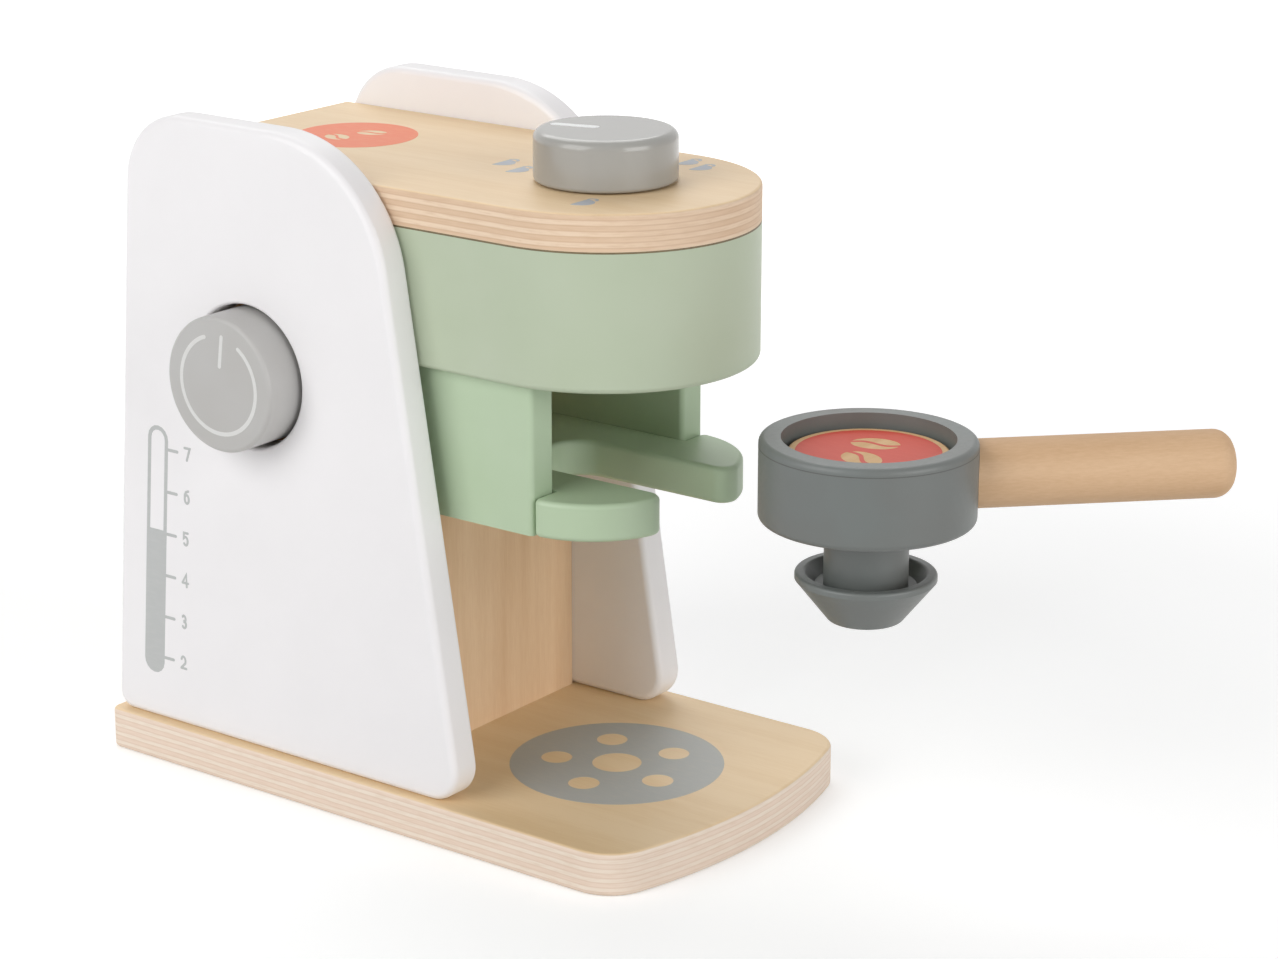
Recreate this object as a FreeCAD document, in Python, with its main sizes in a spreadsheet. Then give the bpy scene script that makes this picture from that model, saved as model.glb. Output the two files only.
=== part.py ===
"""Toy coffee maker in plywood: a D-shaped head between two curved side panels, with a turning knob,
a sprung push button, and a filter holder with a loose coffee pad that slides into a forked shelf.

Millimetres, +Z up, +X to the right seen from the front, which faces -Y.
The origin is the middle of the base board's underside.
"""
import FreeCAD, Part
import math
import os
import re
import Sketcher

Vector = FreeCAD.Vector

DIMENSIONS = {
    # Base board
    "base_width": 108, "base_length": 192, "base_thick": 12,
    "base_front_radius": 150, "base_corner_radius": 14, "base_rear_radius": 3, "edge_round": 1,
    # Side panels, whose outline is a four-cornered shape with a radius at each corner
    "inner_half": 41.5, "panel_thick": 10, "panel_top": 189.3, "panel_round": 2,
    "foot_front": -33.9, "foot_rear": 95, "crown_front": -5.3, "crown_rear": 81.4,
    "foot_front_radius": 9, "foot_rear_radius": 5, "crown_front_radius": 40, "crown_rear_radius": 20.5,
    # Boards between the side panels
    "board_half": 41.4, "board_thick": 10, "top_height": 177, "rear_face": 83.3, "head_axis": -44.4,
    "head_bottom": 129.6, "joint_gap": 0.1,
    # Cheeks and forked shelf
    "cheek_outer": 38.2, "cheek_inner": 28.7, "cheek_front": -49, "fork_bottom": 88.7, "fork_thick": 10.4,
    "fork_front": -75.4, "fork_corner_radius": 26, "fork_tip_radius": 4.5, "fork_shoulder_radius": 2,
    "fork_round": 1.4,
    "slot_half": 13.6, "slot_end": -23, "slot_end_radius": 9, "block_round": 1.5, "cut_overrun": 1,
    # Dowels and base screws
    "dowel_radius": 2.5, "dowel_length": 18, "dowel_depth": 8, "dowel_slack": 0.1,
    "screw_radius": 1.75, "screw_length": 26,
    "screw_head_radius": 3.5, "screw_head_thick": 2.4, "counterbore_radius": 3.9, "counterbore_depth": 3,
    "screw_slot_width": 1, "screw_slot_depth": 1.1,
    # Brewing knob and its spindle
    "knob_axis": -44.4, "knob_radius": 19.3, "knob_height": 13.6, "knob_gap": 0.4, "knob_round": 2.6,
    "spindle_radius": 3, "spindle_fit": 0.06, "spindle_grip": 8, "spindle_tail": 8, "bore_slack": 0.1,
    "washer_radius": 8, "washer_thick": 1, "washer_clearance": 0.2, "contact_gap": 0.02,
    "nut_half_width": 5, "nut_thick": 4, "nut_gap": 0.3,
    "nut_well_radius": 10, "nut_well_depth": 10,
    # Push button in the left side panel
    "button_y": 39.6, "button_z": 120.4, "button_radius": 18.9, "button_hole_radius": 20.1,
    "button_stand": 10.8, "button_round": 1.2,
    "retainer_radius": 24, "retainer_thick": 3, "retainer_gap": 0.3,
    "stem_radius": 4, "stem_fit": 0.05, "stem_length": 37, "stem_grip": 10, "button_travel": 4,
    "guide_start": 27, "guide_thick": 10, "guide_height": 24,
    "sleeve_radius": 6.5, "sleeve_clearance": 0.3, "sleeve_slack": 0.1,
    "spring_radius": 9, "spring_wire_radius": 0.6, "spring_turns": 6, "spring_gap": 0.1,
    # Filter holder: cup, spout, handle and pad, in a frame whose zero is the cup's underside
    "seat_y": -34.5, "drawn_out": 94, "shelf_clearance": 0.3, "handle_turn": 45,
    "cup_radius": 28.2, "cup_height": 21.8, "recess_radius": 22.5, "recess_depth": 7.8, "cup_round": 1.6,
    "neck_radius": 11, "neck_length": 14.2, "cone_rim_radius": 18.5, "cone_foot_radius": 9.7,
    "cone_height": 12.9, "cone_round": 1.5, "cone_lip": 1.8, "lip_round": 0.8,
    "dish_depth": 3.4, "dish_radius": 13.2, "dish_wall": 2.6, "cup_gap": 0.1,
    "spigot_radius": 5, "spigot_length": 8, "spigot_fit": 0.05, "spigot_end_gap": 0.3,
    "filter_screw_head_radius": 4, "filter_screw_head_thick": 2.2, "filter_screw_depth": 12,
    "screw_head_sink": 0.3, "screw_seat_gap": 0.3, "screw_head_clearance": 0.3, "screw_clearance": 0.2,
    "screw_tip_gap": 0.2,
    "handle_radius": 9, "handle_length": 68, "handle_round": 5, "handle_height": 10.9,
    "tenon_radius": 5, "tenon_tip": 21.5, "tenon_inset": 2, "cope_gap": 0.05, "cope_overlap": 2,
    "pad_radius": 21, "pad_thick": 4, "pad_round": 0.8, "pad_gap": 0.05,
}

BOARD_BOTTOM = "(top_height - board_thick)"
PANEL_OUTER = "(inner_half + panel_thick)"
FORK_TOP = "(fork_bottom + fork_thick)"
CUP_BOTTOM = "(fork_bottom + fork_thick + shelf_clearance)"
# Places along y of the base screws, and (y, z) or (x, z) of the dowels
SCREW_ROWS = (-14, 36, 82)
SIDE_DOWELS = {
    "top": ((14, 172), (62, 172)),
    "partition": ((5, 60), (5, 150)),
    "rear": ((78.3, 60), (78.3, 150)),
}
BRACKET_DOWELS = ((-20, 148), (20, 148), (-33.45, 108), (33.45, 108), (-20, 94), (20, 94))
TOLERANCE = 1e-4
SMALLEST_CUT = 1

doc = FreeCAD.newDocument("ToyCoffeeMaker")
sheet = doc.addObject("Spreadsheet::Sheet", "sheet")
for row, (alias, size) in enumerate(DIMENSIONS.items(), start=1):
    sheet.set(f"A{row}", alias)
    sheet.set(f"B{row}", str(size))
    sheet.setAlias(f"B{row}", alias)
doc.recompute()

nodes = []


def bound(expression):
    """The expression with every dimension's name pointing at its cell of the sheet."""
    return re.sub(r"[a-z][a-z_]*", lambda word: f"sheet.{word[0]}" if word[0] in DIMENSIONS else word[0],
                  str(expression))


def number(expression):
    """The expression's present value."""
    return float(sheet.evalExpression(bound(expression)))


def new_body(name):
    """A sub-part made of features, whose label names its file."""
    body = doc.addObject("PartDesign::Body", name)
    nodes.append(body)
    return body


def new_sketch(body, name, role, offset="0"):
    """An empty sketch on one of the body's own origin planes, moved along that plane's normal."""
    sketch = body.newObject("Sketcher::SketchObject", f"{body.Name}_{name}")
    plane = [item for item in body.Origin.OriginFeatures if item.Role == role][0]
    sketch.AttachmentSupport = [(plane, "")]
    sketch.MapMode = "FlatFace"
    sketch.setExpression("AttachmentOffset.Base.z", bound(offset))
    return sketch


def arc_middle(start, end, radius):
    """The middle of the arc from start to end that bulges to the right of its way."""
    chord = end - start
    sagitta = radius - math.sqrt(radius * radius - chord.Length ** 2 / 4)
    right = Vector(chord.y, -chord.x, 0).normalize()
    return (start + end) * 0.5 + right * sagitta


def outline(body, name, role, corners, offset="0"):
    """A closed sketch through the corners, each (x, y) or (x, y, radius of the arc that leaves it)."""
    sketch = new_sketch(body, name, role, offset)
    points = [Vector(number(corner[0]), number(corner[1]), 0) for corner in corners]
    starts, ends = [], []
    for index, corner in enumerate(corners):
        start, end = points[index], points[(index + 1) % len(points)]
        if len(corner) == 3:
            edge = sketch.addGeometry(Part.Arc(start, arc_middle(start, end, number(corner[2])), end))
            item = sketch.addConstraint(Sketcher.Constraint("Radius", edge, number(corner[2])))
            sketch.setExpression(f"Constraints[{item}]", bound(corner[2]))
            forward = sketch.getPoint(edge, 1).distanceToPoint(start) < TOLERANCE
        else:
            edge = sketch.addGeometry(Part.LineSegment(start, end))
            forward = True
        starts.append((edge, 1 if forward else 2))
        ends.append((edge, 2 if forward else 1))
    for index, corner in enumerate(corners):
        following = starts[(index + 1) % len(corners)]
        sketch.addConstraint(Sketcher.Constraint("Coincident", *ends[index], *following))
        for kind, value in (("DistanceX", corner[0]), ("DistanceY", corner[1])):
            item = sketch.addConstraint(Sketcher.Constraint(kind, -1, 1, *starts[index], number(value)))
            sketch.setExpression(f"Constraints[{item}]", bound(value))
    return sketch


def circles(body, name, role, centres, radius, offset="0"):
    """A sketch of equal circles at the given centres."""
    sketch = new_sketch(body, name, role, offset)
    for x, y in centres:
        centre = Vector(number(x), number(y), 0)
        edge = sketch.addGeometry(Part.Circle(centre, Vector(0, 0, 1), number(radius)))
        for kind, value in (("DistanceX", x), ("DistanceY", y)):
            item = sketch.addConstraint(Sketcher.Constraint(kind, -1, 1, edge, 3, number(value)))
            sketch.setExpression(f"Constraints[{item}]", bound(value))
        item = sketch.addConstraint(Sketcher.Constraint("Radius", edge, number(radius)))
        sketch.setExpression(f"Constraints[{item}]", bound(radius))
    return sketch


def pad(body, sketch, length):
    """Thickens a sketch along its plane's normal."""
    feature = body.newObject("PartDesign::Pad", f"{sketch.Name}_pad")
    feature.Profile = sketch
    feature.setExpression("Length", bound(length))
    doc.recompute()
    return feature


def pocket(body, sketch, depth, along_normal=False):
    """Cuts a sketch into the solid, against its plane's normal unless along_normal is true."""
    before = body.Shape.Volume
    feature = body.newObject("PartDesign::Pocket", f"{sketch.Name}_pocket")
    feature.Profile = sketch
    feature.Reversed = along_normal
    feature.setExpression("Length", bound(depth))
    doc.recompute()
    if body.Shape.Volume > before - SMALLEST_CUT:
        raise RuntimeError(f"{sketch.Name} cuts nothing")
    return feature


def turned(body, corners, name="profile"):
    """A solid of revolution about the body's own Z axis, from (radius, height) corners."""
    sketch = outline(body, name, "XZ_Plane", corners)
    feature = body.newObject("PartDesign::Revolution", f"{sketch.Name}_turned")
    feature.Profile = sketch
    feature.ReferenceAxis = (sketch, ["V_Axis"])
    feature.Angle = 360
    doc.recompute()
    return feature


def round_edges(body, radius, chosen):
    """Rounds the edges of the body's present solid that the test picks."""
    base = body.Tip
    names = [f"Edge{index}" for index, edge in enumerate(base.Shape.Edges, start=1) if chosen(edge)]
    if not names:
        raise RuntimeError(f"{body.Name} has no edge to round")
    feature = body.newObject("PartDesign::Fillet", f"{body.Name}_round_{len(body.Group)}")
    feature.Base = (base, names)
    feature.setExpression("Radius", bound(radius))
    doc.recompute()
    return feature


def flat_at(axis, *places):
    """A test for edges that lie wholly in one of the planes at the given places along an axis."""
    levels = [number(place) for place in places]

    def chosen(edge):
        box = edge.BoundBox
        low, high = getattr(box, f"{axis}Min"), getattr(box, f"{axis}Max")
        return any(abs(low - level) < TOLERANCE and abs(high - level) < TOLERANCE for level in levels)
    return chosen


def corner_at(axes, first, second):
    """A test for straight edges that stand at one place on two axes."""
    places = list(zip(axes, (number(first), number(second))))

    def chosen(edge):
        box = edge.BoundBox
        return all(abs(getattr(box, f"{axis}{end}") - value) < TOLERANCE
                   for axis, value in places for end in ("Min", "Max"))
    return chosen


def place(item, x="0", y="0", z="0", turn=None):
    """Puts a sub-part at a bound position, turned by a rotation where one is given."""
    item.Placement = FreeCAD.Placement(Vector(number(x), number(y), number(z)), turn or FreeCAD.Rotation())
    for axis, value in zip("xyz", (x, y, z)):
        item.setExpression(f"Placement.Base.{axis}", bound(value))


def base_board():
    """The base: straight sides, a shallow curved front edge and counterbored screw holes below."""
    body = new_body("base_board")
    half, rear = "(base_width / 2)", "(base_length / 2)"
    shoulder = f"(base_front_radius - sqrt(base_front_radius ^ 2 - {half} ^ 2) - {rear})"
    corners = [(half, rear), (f"-{half}", rear), (f"-{half}", shoulder, "base_front_radius"),
               (half, shoulder)]
    pad(body, outline(body, "plan", "XY_Plane", corners), "base_thick")
    for side in (half, f"-{half}"):
        round_edges(body, "base_corner_radius", corner_at("XY", side, shoulder))
        round_edges(body, "base_rear_radius", corner_at("XY", side, rear))
    round_edges(body, "edge_round", flat_at("Z", "0", "base_thick"))
    spots = [(f"{side} * (inner_half + panel_thick / 2)", y) for side in (-1, 1) for y in SCREW_ROWS]
    pocket(body, circles(body, "holes", "XY_Plane", spots, "screw_radius"), "base_thick", along_normal=True)
    pocket(body, circles(body, "counterbores", "XY_Plane", spots, "counterbore_radius"), "counterbore_depth",
           along_normal=True)


def side_panel(name, side):
    """One tall side panel: slanted front and rear edges, a large front curve and soft edges."""
    body = new_body(name)
    low_x = f"(-{PANEL_OUTER})" if side < 0 else "inner_half"
    corners = [("foot_front", "base_thick"), ("foot_rear", "base_thick"),
               ("crown_rear", "panel_top"), ("crown_front", "panel_top")]
    pad(body, outline(body, "outline", "YZ_Plane", corners, low_x), "panel_thick")
    for corner, radius in zip(corners, ("foot_front_radius", "foot_rear_radius", "crown_rear_radius",
                                        "crown_front_radius")):
        round_edges(body, radius, corner_at("YZ", *corner))
    faces = ("inner_half", PANEL_OUTER) if side > 0 else ("-inner_half", f"-{PANEL_OUTER}")
    round_edges(body, "panel_round", flat_at("X", *faces))
    if side < 0:
        hole = circles(body, "button_hole", "YZ_Plane", [("button_y", "button_z")], "button_hole_radius",
                       low_x)
        pocket(body, hole, "panel_thick", along_normal=True)
        round_edges(body, "edge_round", lambda edge: edge.Closed and flat_at("X", faces[1])(edge)
                    and abs(edge.Curve.Radius - number("button_hole_radius")) < TOLERANCE)
    spots = [spot for group in SIDE_DOWELS.values() for spot in group]
    inner = "inner_half" if side > 0 else "-inner_half"
    pocket(body, circles(body, "dowel_holes", "YZ_Plane", spots, "dowel_radius", inner), "dowel_depth",
           along_normal=side > 0)
    pilots = [(f"{side} * (inner_half + panel_thick / 2)", y) for y in SCREW_ROWS]
    pocket(body, circles(body, "pilots", "XY_Plane", pilots, "screw_radius", "base_thick"),
           "screw_length - base_thick + counterbore_depth", along_normal=True)


def drill_sides(body, spots):
    """Dowel holes in both side edges of a board that stands between the side panels."""
    for side, label in ((-1, "left"), (1, "right")):
        sketch = circles(body, f"{label}_dowel_holes", "YZ_Plane", spots, "dowel_radius",
                         f"{side} * board_half")
        pocket(body, sketch, "dowel_length - dowel_depth + inner_half - board_half", along_normal=side < 0)


def wall(name, front, thick, spots):
    """An upright board between the side panels, from the base to the top board."""
    body = new_body(name)
    corners = [("-board_half", front), ("board_half", front), ("board_half", f"{front} + {thick}"),
               ("-board_half", f"{front} + {thick}")]
    pad(body, outline(body, "plan", "XY_Plane", corners, "base_thick"), f"{BOARD_BOTTOM} - base_thick")
    drill_sides(body, spots)
    return body


def partition_panel():
    """The wall behind the brewing bay, with dowel holes for the head, the cheeks and the shelf."""
    body = wall("partition_panel", "0", "board_thick", SIDE_DOWELS["partition"])
    sketch = circles(body, "bracket_holes", "XZ_Plane", BRACKET_DOWELS, "dowel_radius")
    pocket(body, sketch, "dowel_depth")


def d_block(body, rear, bottom, height):
    """A block with straight sides, a square rear and a half-round front."""
    corners = [("board_half", rear), ("-board_half", rear), ("-board_half", "head_axis"),
               ("board_half", "head_axis")]
    pad(body, outline(body, "plan", "XY_Plane", corners, bottom), height)
    pad(body, circles(body, "nose", "XY_Plane", [("0", "head_axis")], "board_half", bottom), height)


def top_board():
    """The top board, with the spindle's hole."""
    body = new_body("top_board")
    d_block(body, "rear_face", BOARD_BOTTOM, "board_thick")
    round_edges(body, "edge_round", flat_at("Z", "top_height"))
    hole = circles(body, "spindle_hole", "XY_Plane", [("0", "knob_axis")], "spindle_radius + spindle_fit",
                   BOARD_BOTTOM)
    pocket(body, hole, "board_thick", along_normal=True)
    drill_sides(body, SIDE_DOWELS["top"])


def head_block():
    """The thick block under the top board, with a well for the knob's nut."""
    body = new_body("head_block")
    top = f"({BOARD_BOTTOM} - joint_gap)"
    d_block(body, "-joint_gap", "head_bottom", f"{top} - head_bottom")
    round_edges(body, "block_round", flat_at("Z", "head_bottom"))
    well = circles(body, "nut_well", "XY_Plane", [("0", "knob_axis")], "nut_well_radius", top)
    pocket(body, well, "nut_well_depth")
    holes = circles(body, "dowel_holes", "XZ_Plane", BRACKET_DOWELS[:2], "dowel_radius", "joint_gap")
    pocket(body, holes, "dowel_length - dowel_depth", along_normal=True)


def cheek(name, side):
    """A block that hangs from the head beside the shelf's rear part."""
    body = new_body(name)
    inner, outer = f"{side} * cheek_inner", f"{side} * cheek_outer"
    corners = [(inner, "cheek_front"), (outer, "cheek_front"), (outer, "-joint_gap"), (inner, "-joint_gap")]
    if side < 0:
        corners.reverse()
    pad(body, outline(body, "plan", "XY_Plane", corners, "fork_bottom"),
        "head_bottom - joint_gap - fork_bottom")
    for place_x in (inner, outer):
        round_edges(body, "block_round", corner_at("XY", place_x, "cheek_front"))
    spot = BRACKET_DOWELS[2 if side < 0 else 3]
    pocket(body, circles(body, "dowel_hole", "XZ_Plane", [spot], "dowel_radius", "joint_gap"),
           "dowel_length - dowel_depth", along_normal=True)


def fork_plate():
    """The forked shelf: wide in front of the cheeks, narrow between them, with a slot for the neck."""
    body = new_body("fork_plate")
    narrow, wide = "(cheek_inner - joint_gap)", "cheek_outer"
    shoulder = "(cheek_front - joint_gap)"
    corners = [(narrow, "-joint_gap"), (f"-{narrow}", "-joint_gap"), (f"-{narrow}", shoulder),
               (f"-{wide}", shoulder), (f"-{wide}", "fork_front"), (wide, "fork_front"), (wide, shoulder),
               (narrow, shoulder)]
    pad(body, outline(body, "plan", "XY_Plane", corners, "fork_bottom"), "fork_thick")
    for side in (wide, f"-{wide}"):
        round_edges(body, "fork_corner_radius", corner_at("XY", side, "fork_front"))
    slot = [("-slot_half", "fork_front - cut_overrun"), ("slot_half", "fork_front - cut_overrun"),
            ("slot_half", "slot_end"), ("-slot_half", "slot_end")]
    pocket(body, outline(body, "slot", "XY_Plane", slot, "fork_bottom"), "fork_thick", along_normal=True)
    run = "(fork_corner_radius - cheek_outer + slot_half)"
    tip = f"fork_front + fork_corner_radius - sqrt(fork_corner_radius ^ 2 - {run} ^ 2)"
    for side in ("slot_half", "-slot_half"):
        round_edges(body, "slot_end_radius", corner_at("XY", side, "slot_end"))
        round_edges(body, "fork_tip_radius", corner_at("XY", side, tip))
    for side in (wide, f"-{wide}"):
        round_edges(body, "fork_shoulder_radius", corner_at("XY", side, shoulder))
    levels = flat_at("Z", "fork_bottom", FORK_TOP)
    front = number(f"{shoulder} - cut_overrun")
    round_edges(body, "fork_round", lambda edge: levels(edge) and edge.CenterOfMass.y < front)
    pocket(body, circles(body, "dowel_holes", "XZ_Plane", BRACKET_DOWELS[4:], "dowel_radius", "joint_gap"),
           "dowel_length - dowel_depth", along_normal=True)


def dowel_group(name, dowels):
    """Equal dowels as separate solids: each is its starting point and the rotation of its length."""
    group = doc.addObject("Part::Compound", name)
    links = []
    for index, (start, turn) in enumerate(dowels, start=1):
        dowel = doc.addObject("Part::Cylinder", f"{name}_{index}")
        dowel.setExpression("Radius", bound("dowel_radius"))
        dowel.setExpression("Height", bound("dowel_length - 2 * dowel_slack"))
        place(dowel, *start, turn=turn)
        links.append(dowel)
    group.Links = links
    nodes.append(group)


def dowels():
    """The dowels between the side panels and the boards, and those behind the head and the shelf."""
    along_x = FreeCAD.Rotation(Vector(0, 1, 0), 90)
    along_y = FreeCAD.Rotation(Vector(1, 0, 0), -90)
    spots = [spot for group in SIDE_DOWELS.values() for spot in group]
    lowest = {-1: "-inner_half - dowel_depth + dowel_slack",
              1: "inner_half + dowel_depth - dowel_length + dowel_slack"}
    dowel_group("side_dowels", [((lowest[side], y, z), along_x) for side in (-1, 1) for y, z in spots])
    depth = "dowel_depth - dowel_length + dowel_slack"
    dowel_group("bracket_dowels", [((x, depth, z), along_y) for x, z in BRACKET_DOWELS])


def base_screws():
    """Six slotted pan-head screws that hold the side panels down to the base."""
    group = doc.addObject("Part::Compound", "base_screws")
    links = []
    head_bottom = "counterbore_depth - screw_head_thick"
    for side in (-1, 1):
        for y in SCREW_ROWS:
            x = f"{side} * (inner_half + panel_thick / 2)"
            index = len(links) + 1
            head = doc.addObject("Part::Cylinder", f"base_screw_head_{index}")
            head.setExpression("Radius", bound("screw_head_radius"))
            head.setExpression("Height", bound("screw_head_thick"))
            place(head, x, y, head_bottom)
            shank = doc.addObject("Part::Cylinder", f"base_screw_shank_{index}")
            shank.setExpression("Radius", bound("screw_radius"))
            shank.setExpression("Height", bound("screw_length"))
            place(shank, x, y, "counterbore_depth - screw_head_thick / 2")
            solid = doc.addObject("Part::Fuse", f"base_screw_solid_{index}")
            solid.Base, solid.Tool = head, shank
            slot = doc.addObject("Part::Box", f"base_screw_slot_{index}")
            slot.setExpression("Length", bound("2 * (screw_head_radius + cut_overrun)"))
            slot.setExpression("Width", bound("screw_slot_width"))
            slot.setExpression("Height", bound("screw_slot_depth"))
            place(slot, f"{x} - screw_head_radius - cut_overrun", f"{y} - screw_slot_width / 2", head_bottom)
            screw = doc.addObject("Part::Cut", f"base_screw_{index}")
            screw.Base, screw.Tool = solid, slot
            links.append(screw)
    group.Links = links
    nodes.append(group)


def brew_knob():
    """The turned knob on the top board, with a blind bore for its spindle."""
    body = new_body("brew_knob")
    turned(body, [("0", "0"), ("knob_radius", "0"), ("knob_radius", "knob_height"), ("0", "knob_height")])
    round_edges(body, "knob_round", flat_at("Z", "knob_height"))
    round_edges(body, "edge_round", flat_at("Z", "0"))
    bore = circles(body, "bore", "XY_Plane", [("0", "0")], "spindle_radius")
    pocket(body, bore, "spindle_grip", along_normal=True)
    place(body, "0", "knob_axis", "top_height + knob_gap")


def knob_spindle():
    """The plain spindle from the knob down through the top board."""
    body = new_body("knob_spindle")
    tail = "-(board_thick + knob_gap + spindle_tail)"
    tip = "(spindle_grip - bore_slack)"
    turned(body, [("0", tail), ("spindle_radius", tail), ("spindle_radius", tip), ("0", tip)])
    place(body, "0", "knob_axis", "top_height + knob_gap")


def knob_washer():
    """The washer between the top board's underside and the nut."""
    body = new_body("knob_washer")
    inner = "(spindle_radius + washer_clearance)"
    turned(body, [(inner, "-washer_thick"), ("washer_radius", "-washer_thick"), ("washer_radius", "0"),
                  (inner, "0")])
    place(body, "0", "knob_axis", f"{BOARD_BOTTOM} - contact_gap")


def knob_nut():
    """The hexagonal nut that keeps the spindle in."""
    body = new_body("knob_nut")
    corner = "nut_half_width / cos(30)"
    hexagon = [(f"{corner} * cos({60 * step})", f"{corner} * sin({60 * step})") for step in range(6)]
    pad(body, outline(body, "hexagon", "XY_Plane", hexagon), "nut_thick")
    bore = circles(body, "bore", "XY_Plane", [("0", "0")], "spindle_radius")
    pocket(body, bore, "nut_thick", along_normal=True)
    place(body, "0", "knob_axis", f"{BOARD_BOTTOM} - washer_thick - nut_gap - nut_thick")


def on_button_axis(body, depth="0"):
    """Turns a part so that its own Z axis points out of the left side panel at the button's axis."""
    place(body, f"-inner_half + {depth}", "button_y", "button_z", FreeCAD.Rotation(Vector(0, 1, 0), -90))


def power_button():
    """The round cap that stands out of the left side panel."""
    body = new_body("power_button")
    face = "(panel_thick + button_stand)"
    turned(body, [("0", "-retainer_gap"), ("button_radius", "-retainer_gap"), ("button_radius", face),
                  ("0", face)])
    round_edges(body, "button_round", flat_at("Z", face))
    pocket(body, circles(body, "bore", "XY_Plane", [("0", "0")], "stem_radius", "-retainer_gap"), "stem_grip",
           along_normal=True)
    on_button_axis(body)


def button_retainer():
    """The wide disc behind the panel that keeps the cap in its hole."""
    body = new_body("button_retainer")
    back = "(-retainer_gap - retainer_thick)"
    front = "(-retainer_gap - contact_gap)"
    turned(body, [("stem_radius", back), ("retainer_radius", back), ("retainer_radius", front),
                  ("stem_radius", front)])
    on_button_axis(body)


def button_stem():
    """The guide pin glued into the cap."""
    body = new_body("button_stem")
    tip = "(stem_grip - retainer_gap - bore_slack)"
    turned(body, [("0", "-stem_length"), ("stem_radius", "-stem_length"), ("stem_radius", tip), ("0", tip)])
    on_button_axis(body)


def button_guide():
    """The bar between the two upright walls that guides the button's stem."""
    body = new_body("button_guide")
    low, high = "(board_thick + joint_gap)", "(rear_face - board_thick - joint_gap)"
    corners = [(low, "button_z - guide_height / 2"), (high, "button_z - guide_height / 2"),
               (high, "button_z + guide_height / 2"), (low, "button_z + guide_height / 2")]
    start = "(guide_start - inner_half)"
    pad(body, outline(body, "side", "YZ_Plane", corners, start), "guide_thick")
    bore = circles(body, "bore", "YZ_Plane", [("button_y", "button_z")], "stem_radius + stem_fit", start)
    pocket(body, bore, "guide_thick", along_normal=True)


def stop_sleeve():
    """The sleeve on the guide that stops the button at the end of its travel."""
    body = new_body("stop_sleeve")
    near = "(-(retainer_gap + retainer_thick + button_travel + sleeve_slack))"
    far = "(-guide_start + contact_gap)"
    inner = "(stem_radius + sleeve_clearance)"
    turned(body, [(inner, far), ("sleeve_radius", far), ("sleeve_radius", near), (inner, near)])
    on_button_axis(body)


def button_spring():
    """The return spring around the sleeve, a plain helix of round wire."""
    body = new_body("button_spring")
    low = "(-guide_start + spring_wire_radius + spring_gap)"
    high = "(-retainer_gap - retainer_thick - spring_wire_radius - spring_gap)"
    wire = circles(body, "wire", "XZ_Plane", [("spring_radius", low)], "spring_wire_radius")
    coil = body.newObject("PartDesign::AdditiveHelix", "button_spring_coil")
    coil.Profile = wire
    coil.ReferenceAxis = (wire, ["V_Axis"])
    coil.Mode = "height-turns-angle"
    coil.setExpression("Height", bound(f"{high} - {low}"))
    coil.setExpression("Turns", bound("spring_turns"))
    doc.recompute()
    on_button_axis(body)


def at_filter(body, turn=None):
    """Puts a part of the filter holder where the holder stands when drawn out in front."""
    place(body, "0", "seat_y - drawn_out", CUP_BOTTOM, turn)


def handle_turn():
    """The rotation of the cup and handle about the holder's upright axis."""
    return FreeCAD.Rotation(Vector(0, 0, 1), number("handle_turn"))


def filter_spout():
    """The neck and flared spout under the cup, with a spigot that the cup turns on."""
    body = new_body("filter_spout")
    rim, foot = "(-neck_length)", "(-neck_length - cone_height)"
    turned(body, [("0", foot), ("cone_foot_radius", foot), ("cone_rim_radius", f"{rim} - cone_lip"),
                  ("cone_rim_radius", rim), ("cone_rim_radius - dish_wall", rim),
                  ("dish_radius", f"{rim} - dish_depth"), ("neck_radius", f"{rim} - dish_depth"),
                  ("neck_radius", "-cup_gap"), ("spigot_radius", "-cup_gap"),
                  ("spigot_radius", "spigot_length"), ("0", "spigot_length")])
    round_edges(body, "cone_round", flat_at("Z", foot))
    round_edges(body, "lip_round", flat_at("Z", rim))
    hole = circles(body, "screw_hole", "XY_Plane", [("0", "0")], "screw_radius", "spigot_length")
    pocket(body, hole, "filter_screw_depth")
    at_filter(body)


def filter_screw():
    """The screw in the recess's floor that holds the cup on the spigot."""
    body = new_body("filter_screw")
    floor = "(cup_height - recess_depth)"
    under = f"({floor} - filter_screw_head_thick - screw_head_sink)"
    top = f"({floor} - screw_head_sink)"
    tip = "(spigot_length - filter_screw_depth + screw_tip_gap)"
    turned(body, [("0", tip), ("screw_radius", tip), ("screw_radius", under),
                  ("filter_screw_head_radius", under), ("filter_screw_head_radius", top), ("0", top)])
    at_filter(body)


def filter_cup():
    """The round cup with the pad's recess, bored for the spigot, the screw and the handle's tenon."""
    body = new_body("filter_cup")
    floor = "(cup_height - recess_depth)"
    well = f"({floor} - filter_screw_head_thick - screw_head_sink - screw_seat_gap)"
    well_radius = "(filter_screw_head_radius + screw_head_clearance)"
    hole_radius = "(screw_radius + screw_clearance)"
    bore_radius, bore_top = "(spigot_radius + spigot_fit)", "(spigot_length + spigot_end_gap)"
    turned(body, [(bore_radius, "0"), ("cup_radius", "0"), ("cup_radius", "cup_height"),
                  ("recess_radius", "cup_height"), ("recess_radius", floor), (well_radius, floor),
                  (well_radius, well), (hole_radius, well), (hole_radius, bore_top), (bore_radius, bore_top)])
    outer = number("cup_radius")
    rims = flat_at("Z", "0", "cup_height")
    round_edges(body, "cup_round", lambda edge: rims(edge) and abs(edge.Curve.Radius - outer) < TOLERANCE)
    hole = circles(body, "tenon_hole", "XZ_Plane", [("0", "handle_height")], "tenon_radius",
                   "recess_radius - tenon_inset")
    pocket(body, hole, "cup_radius - recess_radius + tenon_inset + cut_overrun", along_normal=True)
    at_filter(body, handle_turn())


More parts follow.
